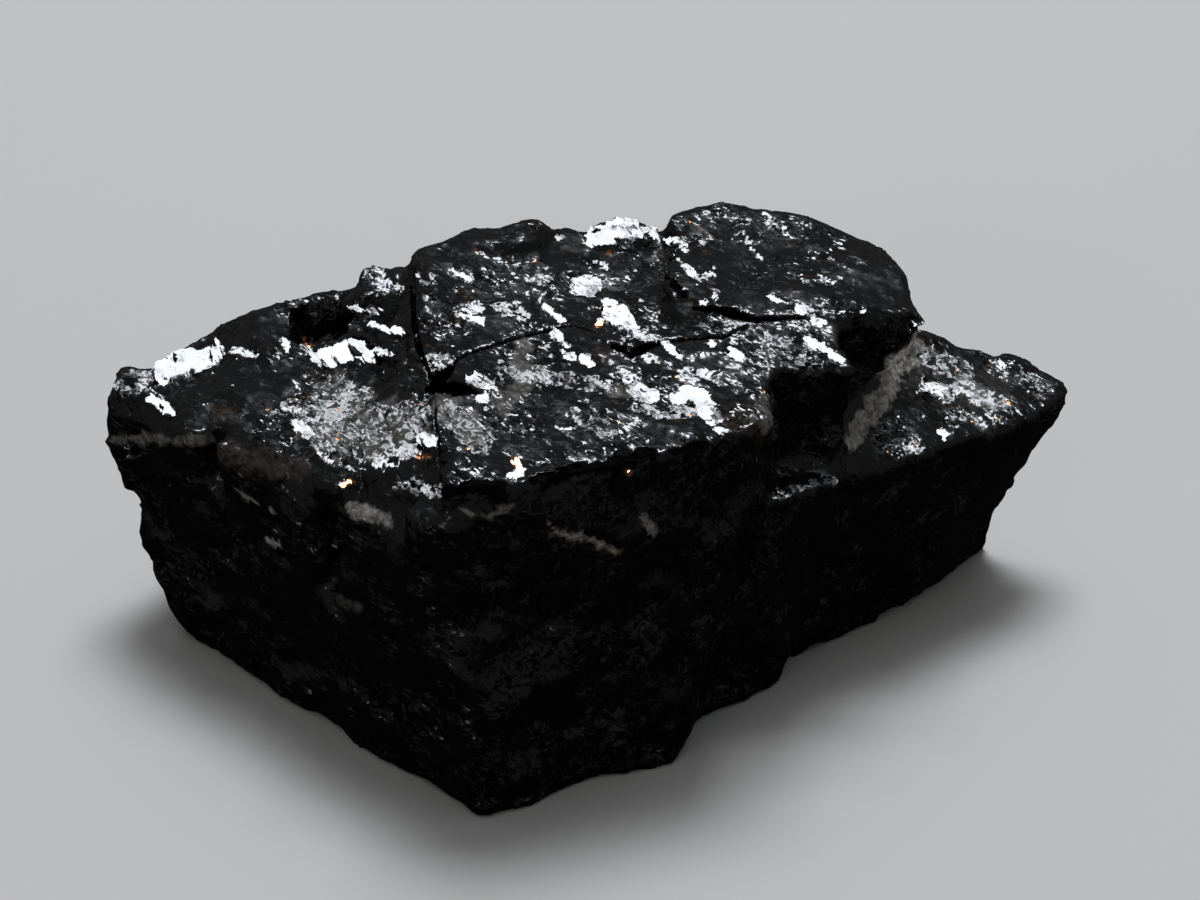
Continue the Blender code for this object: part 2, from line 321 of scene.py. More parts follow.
COPPER_GLINTS = {
    "above the front edge glint": ([(516, 461), (518, 466)], 0.2, 1.0),
    "at the end of the long crack": ([(597, 326), (601, 322)], 0.15, 2.0),
    "under the sheen": ([(343, 484), (349, 482)], 0.16, 2.0),
    "below the joint": ([(420, 457), (430, 456)], 0.14, 3.0),
    "on the front edge": ([(628, 471), (630, 473)], 0.12, 0.5),
    "by the pit": ([(305, 339), (309, 344)], 0.16, 2.0),
}
FLASHES = [flash for group in (LEFT_FLASHES, MIDDLE_FLASHES, RIGHT_FLASHES, COPPER_GLINTS)
           for flash in group.values()]
print("named in all:", len(FLASHES))

# %% [markdown]
# ## Cracks
# Two hairline cracks cross the middle, and the old joint runs down the top where the left part broke off
# lower. They are black because little light gets out of them. Each is a line in the photograph with its
# half width in millimetres at each point, and it is pressed into the mesh as a real groove.

# %% Name the cracks
CRACKS = {
    "left mouth of the long crack": [(434, 386, 0.26), (442, 376, 0.24), (456, 359, 0.11)],
    "hollow at its left end": [(428, 389, 0.2), (452, 387, 0.27), (478, 391, 0.12)],
    "long crack": [(456, 359, 0.1), (470, 352, 0.085), (492, 345, 0.075), (515, 338, 0.075), (538, 332, 0.07),
                   (561, 326, 0.07), (574, 324, 0.07), (597, 331, 0.06)],
    "gap in the middle": [(612, 345, 0.1), (632, 352, 0.22), (645, 347, 0.16), (664, 341, 0.1)],
    "right crack": [(664, 341, 0.1), (687, 338, 0.08), (726, 336, 0.07), (746, 327, 0.07)],
    "hollow under the slab": [(708, 306, 0.1), (735, 313, 0.22), (755, 319, 0.14), (806, 317, 0.06)],
    "upper joint": [(413, 268, 0.08), (414, 320, 0.07), (421, 352, 0.09), (432, 382, 0.1)],
    "lower joint": [(435, 403, 0.07), (437, 440, 0.08), (439, 470, 0.06)],
}
print("cracks:", ", ".join(CRACKS))

# %% [markdown]
# ## Dusty, brown, quiet and black places, and painted glints
# A few places differ from the rest of the stone. Fine grey dust lies on the ramp beside the notch, on the
# worn
# bevel at the left and on some flats, and a few hollows have a brown film. The same grey is also painted
# light:
# a painted sheen on the mottled patches and the terrace, and painted glints on a chip and on the front and
# left walls; the brown film also paints a glint, the crescent on the front wall. The quiet places are smooth
# and dark, with hardly a glint. The black ones are hollows and the front rim of the top, which mirror only
# the dark. They are named as the flashes are, and the last number is how strong each is, from 0 to 1.

# %% Name the dusty and the brown places, and the painted sheen and glints
DUST_AND_PAINTED_GLINTS = {
    "ramp beside the notch": ([(920, 345), (896, 370), (874, 404), (854, 440)], 0.6, 1.0),
    "left bevel": ([(226, 452), (262, 462), (300, 470)], 0.7, 0.05),
    # Painted highlight: the grey of this chip paints its bright glint.
    "chip below it": ([(350, 506), (388, 520)], 0.42, 0.75),
    "side of the notch": ([(766, 398), (768, 425)], 0.35, 0.25),
    "flat in the middle": ([(521, 345), (524, 368)], 0.5, 0.35),
    "second flat": ([(503, 402), (522, 388)], 0.6, 0.3),
    "third flat": ([(612, 390), (626, 394)], 0.45, 0.35),
    # Partly dust, partly painted sheen: the grey of these three sheen patches stands in for their broken
    # reflection.
    "sheen, upper": ([(330, 392), (352, 402)], 1.2, 0.22),
    "sheen": ([(326, 425), (360, 425), (400, 430)], 1.5, 0.22),
    "sheen right of the joint": ([(445, 405), (470, 430)], 0.9, 0.3),
    "ledge at the left end": ([(116, 440), (135, 438), (208, 441)], 0.3, 0.3),
    "low end": ([(962, 385), (975, 388)], 0.5, 0.35),
    # Painted sheen: a thin grey that lifts the terrace's half tones between its glints.
    "terrace": ([(925, 372), (990, 400)], 1.5, 0.08),
    # Painted glints: from here to the end, the grey spots, wisps and streaks on the front and left walls.
    "spot on the front": ([(644, 518), (652, 530)], 0.26, 0.42),
    "crescent on the front": ([(556, 533), (590, 539), (616, 552)], 0.12, 0.45),
    "tail of the crescent": ([(544, 520), (560, 534)], 0.05, 0.3),
    "first chip under the rim": ([(460, 508), (471, 514)], 0.16, 0.4),
    "second chip under the rim": ([(488, 517), (514, 506)], 0.1, 0.35),
    "wisp low on the front": ([(622, 712), (602, 750)], 0.2, 0.03),
    "wisp on the left wall": ([(340, 600), (356, 606)], 0.3, 0.1),
    "streak on the left wall": ([(233, 487), (248, 498), (277, 514)], 0.06, 0.5),
    "small streak under it": ([(266, 537), (280, 546)], 0.08, 0.9),
}
RUST_AND_PAINTED_GLINT = {
    "left bevel": ([(228, 455), (296, 472)], 0.7, 0.5),
    "left flake": ([(215, 410), (230, 414)], 0.4, 1.0),
    "corner of the plateau": ([(735, 418), (766, 432)], 0.6, 0.6),
    "ramp": ([(905, 350), (862, 425)], 0.5, 0.3),
    "flake in the middle": ([(598, 352), (610, 358)], 0.3, 0.8),
    # Painted glint: the brown on this crescent paints its warm glint on the front wall.
    "crescent on the front": ([(550, 530), (590, 540), (616, 553)], 0.2, 1.0),
}
print("dusty places:", len(DUST_AND_PAINTED_GLINTS), "brown:", len(RUST_AND_PAINTED_GLINT))

# %% Name the quiet and the black places
QUIET = {
    "back rim of the plateau": ([(425, 262), (500, 252), (560, 250), (650, 256)], 1.3, 1.0),
    "back of the slab": ([(700, 218), (760, 238), (850, 248)], 1.9, 0.9),
    "front of the slab": ([(705, 270), (740, 290), (800, 275), (890, 280)], 1.9, 0.85),
    "left of the first crack": ([(440, 330), (470, 338), (500, 330)], 0.7, 0.7),
    "between the squares": ([(570, 300), (590, 318)], 0.5, 0.8),
    "right of the lozenge": ([(650, 300), (670, 322)], 0.8, 0.8),
    "under the bump": ([(340, 330), (395, 318)], 0.6, 0.7),
    "back of the low end": ([(950, 335), (1010, 352)], 0.6, 0.7),
    "front of the low end": ([(900, 410), (925, 418)], 0.5, 0.8),
    "dark middle": ([(520, 402), (600, 400)], 0.8, 0.8),
    "front strip": ([(500, 450), (560, 445)], 0.8, 0.6),
    "left top": ([(190, 395), (240, 385), (290, 372)], 1.2, 0.8),
    "left back": ([(230, 335), (290, 325)], 1.0, 0.7),
    "right front": ([(650, 430), (730, 425)], 0.8, 0.6),
    "beside the joint": ([(385, 395), (410, 380)], 0.7, 0.7),
    "right of the middle joint": ([(660, 300), (600, 296)], 0.8, 0.5),
}
BLACK = {
    "pit behind the white patch": ([(304, 314), (318, 330), (340, 320)], 0.85, 1.0),
    "beside the left bump": ([(350, 338), (368, 343)], 0.3, 1.0),
    "hollow under the slab's left end": ([(694, 308), (722, 312)], 0.18, 1.0),
    "hollow left of the slab": ([(672, 282), (684, 296)], 0.35, 1.0),
    "wall of the upper joint": ([(411, 285), (413, 330), (420, 362)], 0.08, 1.0),
    "front rim, left": ([(450, 490), (500, 491)], 0.5, 1.0),
    "front rim, middle": ([(534, 480), (575, 471), (615, 464), (650, 456)], 0.42, 1.0),
    "front rim, right": ([(672, 452), (704, 443)], 0.2, 1.0),
}
print("quiet places:", len(QUIET), "black:", len(BLACK))

# %% [markdown]
# ## From the photograph to the stone
# Each face or vertex is seen at some pixel, so its distance from a named line can be measured there and
# turned to millimetres by its depth. Only places that the camera sees count: a ray from the eye finds
# whether other stone stands in front. Noise that is fixed to the stone makes every outline ragged.

# %% Measure how far a place is seen from a line
def gap_to_line(pixels, line):
    """Distance in pixels to the nearest place on a line, and how far along the line that place is."""
    best = np.full(len(pixels), np.inf)
    along = np.zeros(len(pixels))
    ends = np.array(line, dtype=float)[:, :2]
    for step, (start, end) in enumerate(zip(ends[:-1], ends[1:])):
        run = end - start
        share = np.clip(((pixels - start) @ run) / (run @ run), 0.0, 1.0)
        gap = np.linalg.norm(pixels - start - share[:, None] * run, axis=1)
        nearer = gap < best
        best[nearer] = gap[nearer]
        along[nearer] = step + share[nearer]
    return best, along


def ragged(points, size):
    """Noise between about -1 and 1 that makes outlines ragged at this size in mm."""
    return np.array([noise.noise(Vector(point)) for point in points / size])


test_line = [(172, 370), (212, 357)]
print("the start of a line is off it by", gap_to_line(np.array([[172.0, 370.0]]), test_line)[0])

# %% See the stone as the camera does
EDGE_RAGGED = 0.8
EDGE_NOISE = ((0.9, 1.0), (0.3, 0.5))
EDGE_FADE = 0.2
HIDDEN_BY = 0.4
GRAZING = 0.05


class View:
    """The places of the stone as the camera sees them."""

    def __init__(self, mesh, points, normals):
        self.points = points
        self.pixels, self.depth = seen(points)
        self.per_mm = FOCAL / self.depth
        self.rough_edge = EDGE_RAGGED * sum(share * ragged(points, size) for size, share in EDGE_NOISE)
        self.visible = facing_eye(points, normals) > GRAZING
        tree = BVHTree.FromPolygons([vertex.co for vertex in mesh.vertices],
                                    [face.vertices for face in mesh.polygons])
        eye = Vector(EYE)
        for row in np.flatnonzero(self.visible):
            away = Vector(points[row]) - eye
            hit = tree.ray_cast(eye, away)[0]
            self.visible[row] = hit is None or (hit - eye).length > away.length - HIDDEN_BY

    def off(self, line):
        """Distance from the line in mm, and how far along it. Hidden places are far off."""
        gap, along = gap_to_line(self.pixels, line)
        return np.where(self.visible, gap / self.per_mm, np.inf), along

    def cover(self, line, half_width):
        """1 inside a patch round the line, 0 outside, with a ragged edge."""
        gap, along = self.off(line)
        return np.clip((1.0 - gap / half_width + self.rough_edge) / EDGE_FADE, 0.0, 1.0)


def film(view, places):
    """The weight of a film laid on named places."""
    weight = np.zeros(len(view.points))
    for line, half_width, strength in places.values():
        weight = np.maximum(weight, strength * view.cover(line, half_width))
    return weight


print("outlines are ragged at, mm:", [size for size, share in EDGE_NOISE])

# %% Find the faces under the fine features
MIRROR_UNREST = 2.5
FLASH_MARGIN = 0.12
CRACK_MARGIN = 0.45
NARROW_FILM = 0.4
faces = stone.data.polygons
view = View(stone.data, read(faces, "center"), read(faces, "normal"))
near_feature = np.zeros(len(faces), dtype=bool)
for line, half_width, unrest in FLASHES:
    if unrest <= MIRROR_UNREST:
        near_feature |= view.off(line)[0] < half_width + FLASH_MARGIN
for line in CRACKS.values():
    near_feature |= view.off(line)[0] < CRACK_MARGIN
for line, half_width, strength in DUST_AND_PAINTED_GLINTS.values():
    if half_width < NARROW_FILM:
        near_feature |= view.off(line)[0] < half_width
print("faces under clean flashes, cracks and narrow films:", int(near_feature.sum()))

# %% Cut those places finer again
cut_finer(stone.data, near_feature)
print("faces:", len(stone.data.polygons))

# %% [markdown]
# ## Flakes
# Shungite has no cleavage, so it breaks in small curved flakes with ragged outlines, each tilted a little
# against the next, and drawn out along the way the crack ran. Here the surface is split in cells by Voronoi
# noise, warped so that no outline is straight. All the points of a cell are then moved onto one tilted
# plane, which leaves real flat flakes with small steps between them. Three sizes are laid over each other.
# Blender's noise vectors start from the clock, so they are seeded first, and each run gives the same flakes.

# %% Split the surface in cells
RUN_OF_THE_BREAK = math.radians(-38.0)
DRAWN_OUT = 2.0
WARP_SCALE = 1.6
APART = 17.0
PARTS_OF_A_CELL = 1000.0
ALONG = np.array([math.cos(RUN_OF_THE_BREAK), math.sin(RUN_OF_THE_BREAK), 0.0])
noise.seed_set(1)
GRAIN = np.eye(3) - (1.0 - 1.0 / DRAWN_OUT) * np.outer(ALONG, ALONG)


def cell_of(points, size, warp, seed):
    """Number the cell that each point falls in. The size is in mm; each seed gives another pattern."""
    places = points @ GRAIN / size + seed * APART
    hearts = np.empty_like(places)
    for row, place in enumerate(places):
        place = Vector(place)
        place += warp * noise.noise_vector(place * WARP_SCALE)
        hearts[row] = noise.voronoi(place)[1][0]
    keys = (hearts * PARTS_OF_A_CELL).round().astype(np.int64)
    return np.unique(keys, axis=0, return_inverse=True)[1].ravel()


def mean_of(cells, values):
    """The mean of each cell's vectors."""
    count = np.bincount(cells)
    return np.stack([np.bincount(cells, weights=column) / count for column in values.T], axis=1)


some_points = read(stone.data.vertices, "co")[:1000]
print("flakes of 1 mm under 1000 vertices:", cell_of(some_points, 1.0, 0.4, 1).max() + 1)

# %% Give each cell its own plane
# A flake's size in mm, its warp, its tilt in degrees, how far it goes to its plane, and at most how many mm.
FLAKES = {
    "large": (2.6, 0.4, 4.0, 0.8, 0.30),
    "middling": (1.25, 0.4, 4.5, 0.85, 0.16),
    "small": (0.6, 0.3, 3.6, 0.8, 0.07),
}
SLANT_LIMIT = 0.6
BENT = 0.86
BENT_TO_EVEN = 0.1
HUSH = 0.6


def onto_planes(points, normals, cells, planes, limit):
    """How far each point moves along its normal to lie on its cell's plane, within a limit."""
    middles = mean_of(cells, points)[cells]
    rise = np.einsum("ij,ij->i", middles - points, planes)
    slant = np.clip(np.einsum("ij,ij->i", normals, planes), SLANT_LIMIT, None)
    return np.clip(rise / slant, -limit, limit)


def flake(mesh, quiet, seed, size, warp, tilt, share, limit):
    """Break the surface in flakes of one size, but not over sharp edges, and less where it is quiet."""
    points, normals = read(mesh.vertices, "co"), read(mesh.vertices, "normal")
    cells = cell_of(points, size, warp, seed)
    lean = mean_of(cells, normals)
    evenness = np.linalg.norm(lean, axis=1)
    draws = np.random.default_rng(seed).normal(0.0, math.tan(math.radians(tilt)), lean.shape)
    planes = unit(lean / evenness[:, None] + draws)
    keep = share * np.clip((evenness - BENT) / BENT_TO_EVEN, 0.0, 1.0)
    push = onto_planes(points, normals, cells, planes[cells], limit) * keep[cells]
    push *= 1.0 - HUSH * quiet
    write(mesh, points + normals * push[:, None])
    return push


mesh = stone.data
view = View(mesh, read(mesh.vertices, "co"), read(mesh.vertices, "normal"))
quiet = film(view, QUIET)
for seed, (name, (size, warp, tilt, share, limit)) in enumerate(FLAKES.items(), start=1):
    push = flake(mesh, quiet, seed, size, warp, tilt, share, limit)
    print(name, "flakes moved the surface by up to", round(float(np.abs(push).max()), 2), "mm")

# %% [markdown]
# ## The flakes that flash
# A flash is a flake like the others whose tilt happens to be right. So the same step is used again inside
# the named patches, this time with the tilt that mirrors the softbox, plus the patch's unrest. Large
# shingles carry a clean flash and small shards a mottled one, of which some stay dull. A patch's outline
# follows whole crumbs, or shards where it is narrow, so it is as ragged as the fracture.

# %% Find the flakes that flash
# The size of each kind of flake in mm, its warp and its seed.
SHINGLE = (1.35, 0.5, 7)
CRUMB = (0.55, 0.15, 8)
SHARD = (0.28, 0.2, 9)
NARROW = 0.3
DULL_SHARE = 0.25
DULL_SEED = 22
# Nearness to a line counts in half widths. Each vertex keeps this share of its own, the rest is its chip's.
FAR_OFF = 9.0
OWN_SHARE_NARROW, OWN_SHARE_WIDE = 0.25, 0.5
FLASH_EDGE = 0.88
points, normals = read(mesh.vertices, "co"), read(mesh.vertices, "normal")
view = View(mesh, points, normals)
shingles = cell_of(points, *SHINGLE)
crumbs = cell_of(points, *CRUMB)
shards = cell_of(points, *SHARD)
nearness = np.full(len(points), FAR_OFF)
patch_of = np.full(len(points), -1)
for number, (line, half_width, unrest) in enumerate(FLASHES):
    share = view.off(line)[0] / half_width
    patch_of[share < nearness] = number
    nearness = np.minimum(nearness, share)
unrests = np.array([unrest for line, half_width, unrest in FLASHES] + [0.0])[patch_of]
half_widths = np.array([half_width for line, half_width, unrest in FLASHES] + [0.0])[patch_of]
mottled = unrests > MIRROR_UNREST
chips = np.where(half_widths < NARROW, shards, crumbs + shards.max() + 1)
chips = np.unique(chips, return_inverse=True)[1]
own = np.where(half_widths < NARROW, OWN_SHARE_NARROW, OWN_SHARE_WIDE)
chipped = own * nearness + (1.0 - own) * mean_of(chips, nearness[:, None])[chips, 0]
dull = np.random.default_rng(DULL_SEED).random(shards.max() + 1)[shards] < DULL_SHARE * mottled
flash = ((chipped < FLASH_EDGE) & ~dull).astype(float)
print("share of the vertices that flash:", round(float(flash.mean()), 3))

# %% Measure the cracks and keep them black
CRACK_RAGGED = 0.4
CRACK_SHOULDER = 1.6
CRACK_BLACKNESS = 18.0
MOSTLY = 0.5


def crack_weights(view):
    """How deep each place lies in a crack, in mm of half width. 0 is outside all cracks."""
    weight = np.zeros(len(view.points))
    for line in CRACKS.values():
        gap, along = view.off(line)
        half_widths = np.interp(along, np.arange(len(line)), [point[2] for point in line])
        half_widths = half_widths * (1.0 + CRACK_RAGGED * view.rough_edge)
        inside = np.clip(1.0 - gap / (CRACK_SHOULDER * half_widths), 0.0, 1.0)
        weight = np.maximum(weight, inside * half_widths)
    return weight


black = np.maximum(np.clip(crack_weights(view) * CRACK_BLACKNESS, 0.0, 1.0), film(view, BLACK))
flash *= black < MOSTLY
print("share of the vertices that are black:", round(float((black > MOSTLY).mean()), 3))

# %% Tilt the flashing flakes to the lamp and press them flat
TURN_SEED = 21
# Degrees of tilt for each 1 of unrest, in a mottled flash and in a clean one.
UNREST_TO_DEGREES = (0.7, 1.0)
# How many mm a flake may move: in a clean flash, its patch's half width within the two limits.
MOTTLED_PRESS = 0.12
CLEAN_PRESS = (0.1, 0.35)
inner = np.where(mottled, shards + shingles.max() + 1, shingles)
keys = (patch_of + 1).astype(np.int64) * (inner.max() + 1) + inner
cells = np.unique(keys, return_inverse=True)[1].ravel()
turn = np.random.default_rng(TURN_SEED).normal(0.0, 1.0, (cells.max() + 1, 3))[cells]
swing = np.tan(np.radians(np.where(mottled, *UNREST_TO_DEGREES) * unrests))
planes = unit(flashing_tilt(points) + turn * swing[:, None])
limit = np.where(mottled, MOTTLED_PRESS, np.clip(half_widths, *CLEAN_PRESS))
push = onto_planes(points, normals, cells, planes, limit) * flash
write(mesh, points + normals * push[:, None])
print("deepest press, mm:", round(float(np.abs(push).max()), 2))

# %% [markdown]
# ## Facets
# A pressed flake is only a few mesh faces wide, and their shared normals would blur its one flat tilt. So
# each vertex also keeps a facet, the direction that its flake really faces, for the material to use. A
# flashing flake's facet is its plane. A quiet place keeps its own direction, but turned away from the lamp
# where it would catch it. In a crack or a hollow the facet mirrors the dark below the front of the stone.

# %% Give the pressed places their facets
SHY_OF_THE_LAMP = math.radians(8.0)
SHY_SPREAD = math.radians(17.0)
SHY_SEED = 23
TO_THE_DARK = np.array([0.0, -0.76, -0.65])
tilts, normals = flashing_tilt(points), read(mesh.vertices, "normal")
match = np.clip(np.einsum("ij,ij->i", tilts, normals), -1.0, 1.0)
shyness = SHY_SPREAD * np.random.default_rng(SHY_SEED).random(crumbs.max() + 1)[crumbs]
turned = np.maximum(np.arccos(match), SHY_OF_THE_LAMP + shyness)
sideways = unit(normals - match[:, None] * tilts)
shy = np.cos(turned)[:, None] * tilts + np.sin(turned)[:, None] * sideways
facet = np.where(flash[:, None] > 0.0, planes, shy)
facet = np.where(black[:, None] > MOSTLY, unit(unit(EYE - points) + TO_THE_DARK), facet)
print("the least turn from the lamp, degrees:", round(math.degrees(turned.min()), 1))

# %% Weigh how flat, calm and frosted each place is
# Pressed is how much the facet counts, calm is how smooth the finest flakes are, frost is a mottled sheen.
QUIET_PRESSED = 0.9
QUIET_CALM = 0.4
# How much each 1 of unrest takes from the calm, in a mottled flash and in a clean one.
UNREST_IN_CALM = (0.3, 0.15)
FROST_SPAN = 4.0
pressed = np.maximum.reduce([flash, QUIET_PRESSED * quiet, black])
calm = flash / (1.0 + np.where(mottled, *UNREST_IN_CALM) * unrests)
calm = np.maximum.reduce([calm, black, QUIET_CALM * quiet])
frost = flash * np.clip((unrests - MIRROR_UNREST) / FROST_SPAN, 0.0, 1.0)
print("mean pressed, calm and frost:", [round(float(each.mean()), 3) for each in (pressed, calm, frost)])

# %% Press in the cracks
# A crack is this many times as deep as its half width.
CRACK_DEPTH = 3.2
points, normals = read(mesh.vertices, "co"), read(mesh.vertices, "normal")
view = View(mesh, points, normals)
crack = crack_weights(view)
write(mesh, points - normals * (CRACK_DEPTH * crack)[:, None])
print("deepest crack, mm:", round(float(CRACK_DEPTH * crack.max()), 2))

# %% [markdown]
# ## The resting face
# The stone lies on its flat underside, so nothing of the fracture may reach below that. Points that the
# flakes pushed under it come back up to it.

# %% Keep the underside flat
points = read(mesh.vertices, "co")
points[:, 2] = np.maximum(points[:, 2], 0.0)
write(mesh, points)
print("lowest point, mm:", float(points[:, 2].min()))

# %% [markdown]
# ## What the material has to know
# Dust and the brown film have no height, and neither has a copper tint, so none of them is mesh. The dust's
# weight also carries the painted sheen and glints, and the brown film's the painted glint of the crescent.
# Each is kept as a weight on every vertex, which the material reads, and so are the facets and how pressed,
# calm and frosted each place is. Painted images would do the same, but these weights follow from the names
# above.

# %% Keep the weights on the mesh
def keep_weight(name, weight):
    """Keep a weight on each vertex for the material to read."""
    mesh.attributes.new(name, "FLOAT", "POINT").data.foreach_set("value", weight.astype(np.float32))


copper = {name: (line, half_width, 1.0) for name, (line, half_width, unrest) in COPPER_GLINTS.items()}
# The dust weight also holds the painted sheen and the painted glints.
dust_and_painted_glints = film(view, DUST_AND_PAINTED_GLINTS)
keep_weight("dust_and_painted_glints", dust_and_painted_glints)
keep_weight("rust_and_painted_glint", film(view, RUST_AND_PAINTED_GLINT))
keep_weight("copper", film(view, copper))
keep_weight("pressed", pressed)
keep_weight("frost", frost)
keep_weight("calm", calm)
mesh.attributes.new("facet", "FLOAT_VECTOR", "POINT").data.foreach_set(
    "vector", (facet * pressed[:, None]).astype(np.float32).ravel())
print("share of the vertices with dust:", round(float((dust_and_painted_glints > 0.0).mean()), 3))

# %% Take the finished mesh back to metres
mesh.transform(Matrix.Scale(MM, 4))
mesh.shade_smooth()
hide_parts("shungite")
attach(stone, "root")
print("triangles:", sum(len(face.vertices) - 2 for face in mesh.polygons))

# %% [markdown]
# ## Materials
# Colours are written as sRGB hex, the way a picker shows them, and one function turns them to the linear
# values that shaders use. One more small function adds a node with its settings and links.

# %% Helpers for materials
def linear(hex_colour):
    """Turn an sRGB hex colour into linear values, by the formula of the sRGB standard."""
    channels = [int(hex_colour[start:start + 2], 16) / 255 for start in (1, 3, 5)]
    straight = [c / 12.92 if c <= 0.04045 else ((c + 0.055) / 1.055) ** 2.4 for c in channels]
    return (*straight, 1.0)


def add(tree, kind, settings=None, inputs=None):
    """Add a node. Settings are its own properties; inputs are values or sockets, by name or number."""
    node = tree.nodes.new(kind)
    for name, value in (settings or {}).items():
        setattr(node, name, value)
    for name, value in (inputs or {}).items():
        if isinstance(value, bpy.types.NodeSocket):
            tree.links.new(value, node.inputs[name])
        else:
            node.inputs[name].default_value = value
    return node


print("middle grey in linear values:", [round(value, 3) for value in linear("#808080")[:3]])

# %% [markdown]
# ## Elite shungite, freshly broken
# The real stuff is almost pure carbon with the gloss of black glass. Its colour is nearly nothing; what the
# eye sees is the mirror of its surroundings, so the material is a dark base with a high index of refraction
# and low roughness, and its detail is in the normal. The flakes go on below what the mesh can hold: two
# more sizes of Voronoi cells give each tiny flake its own tilt, and a ridged noise gives the crinkle lines.

# %% Lay out the stone's pattern space
WOBBLES_PER_MM = 1.6
WOBBLE_REACH = 0.8
glass = bpy.data.materials.new("elite_shungite_fresh_break")
glass.use_nodes = True
tree = glass.node_tree
shader = tree.nodes["Principled BSDF"]
place = add(tree, "ShaderNodeTexCoord").outputs["Object"]
millimetres = add(tree, "ShaderNodeVectorMath", {"operation": "SCALE"}, {
    0: place, "Scale": 1 / MM}).outputs[0]
drawn = add(tree, "ShaderNodeMapping", {"vector_type": "TEXTURE"}, {
    "Vector": millimetres, "Rotation": (0.0, 0.0, RUN_OF_THE_BREAK),
    "Scale": (DRAWN_OUT, 1.0, 1.0)}).outputs[0]
wobble = add(tree, "ShaderNodeTexNoise", None, {"Vector": drawn, "Scale": WOBBLES_PER_MM, "Detail": 2.0})
wobble = add(tree, "ShaderNodeVectorMath", {"operation": "SUBTRACT"}, {
    0: wobble.outputs["Color"], 1: (0.5, 0.5, 0.5)}).outputs[0]
wobbled = add(tree, "ShaderNodeVectorMath", {"operation": "MULTIPLY_ADD"}, {
    0: wobble, 1: (WOBBLE_REACH,) * 3, 2: drawn}).outputs[0]
print("pattern space is in millimetres, drawn out", DRAWN_OUT, "times along the break")

# %% Give each tiny flake its own tilt
TINY_FLAKE = 0.36
TINIEST_FLAKE = 0.15
TINY_TILT = 0.38
TINIEST_TILT = 0.5
BUSY_PER_MM = 0.33
HALF_CUBED = 0.5 ** 3

weights = {name: add(tree, "ShaderNodeAttribute", {"attribute_name": name}).outputs["Fac"]
           for name in ("dust_and_painted_glints", "rust_and_painted_glint", "copper", "pressed", "frost", "calm")}
busy = add(tree, "ShaderNodeTexNoise", None, {"Vector": millimetres, "Scale": BUSY_PER_MM, "Detail": 3.0})
busy = add(tree, "ShaderNodeMapRange", None, {
    "Value": busy.outputs["Fac"], "From Min": 0.42, "From Max": 0.62,
    "To Min": 0.3, "To Max": 1.2}).outputs[0]
unrest = add(tree, "ShaderNodeMapRange", None, {
    "Value": weights["calm"], "From Min": 0.0, "From Max": 1.0, "To Min": 1.0, "To Max": 0.1}).outputs[0]
unrest = add(tree, "ShaderNodeMath", {"operation": "MULTIPLY"}, {0: unrest, 1: busy}).outputs[0]
normal = add(tree, "ShaderNodeNewGeometry").outputs["Normal"]
facet = add(tree, "ShaderNodeAttribute", {"attribute_name": "facet"}).outputs["Vector"]
unpressed = add(tree, "ShaderNodeMath", {"operation": "SUBTRACT"}, {0: 1.0, 1: weights["pressed"]}).outputs[0]
normal = add(tree, "ShaderNodeVectorMath", {"operation": "MULTIPLY_ADD"}, {
    0: normal, 1: unpressed, 2: facet}).outputs[0]
for flake_size, tilt in ((TINY_FLAKE, TINY_TILT), (TINIEST_FLAKE, TINIEST_TILT)):
    flakes = add(tree, "ShaderNodeTexVoronoi", None, {"Vector": wobbled, "Scale": 1.0 / flake_size})
    lean = add(tree, "ShaderNodeVectorMath", {"operation": "SUBTRACT"}, {
        0: flakes.outputs["Color"], 1: (0.5, 0.5, 0.5)}).outputs[0]
    squared = add(tree, "ShaderNodeVectorMath", {"operation": "MULTIPLY"}, {0: lean, 1: lean}).outputs[0]
    lean = add(tree, "ShaderNodeVectorMath", {"operation": "MULTIPLY"}, {0: lean, 1: squared}).outputs[0]
    lean = add(tree, "ShaderNodeVectorMath", {"operation": "SCALE"}, {
        0: lean, "Scale": tilt / HALF_CUBED}).outputs[0]
    lean = add(tree, "ShaderNodeVectorMath", {"operation": "SCALE"}, {0: lean, "Scale": unrest}).outputs[0]
    normal = add(tree, "ShaderNodeVectorMath", {"operation": "ADD"}, {0: normal, 1: lean}).outputs[0]
normal = add(tree, "ShaderNodeVectorMath", {"operation": "NORMALIZE"}, {0: normal}).outputs[0]
print("flakes in the material, mm:", TINY_FLAKE, "and", TINIEST_FLAKE)

# %% Add the crinkle lines
# Both are in millimetres.
CRINKLE = 0.5
CRINKLE_HEIGHT = 0.02

ridges = add(tree, "ShaderNodeTexNoise", {"noise_type": "RIDGED_MULTIFRACTAL"}, {
    "Vector": wobbled, "Scale": 1.0 / CRINKLE, "Detail": 3.0, "Roughness": 0.6})
crinkled = add(tree, "ShaderNodeBump", None, {
    "Height": ridges.outputs["Fac"], "Distance": CRINKLE_HEIGHT * MM, "Strength": unrest, "Normal": normal})
tree.links.new(crinkled.outputs["Normal"], shader.inputs["Normal"])
print("crinkle height, mm:", CRINKLE_HEIGHT)

# %% [markdown]
# ## Films, flecks and gloss
# Dust is grey, matte and patchy, and the same grey paints the sheen and the faint glints named with it. The
# brown film is thin and shows only in hollows, and it also paints the glint of the crescent on the front
# wall. A few flecks of a copper tint, an eighth of a millimetre wide, are where the film is thin enough to
# give colours;
# metal-like cells with a copper base are the simplest way to that glint.

# %% Colour the glass
GLASS = linear("#070708")
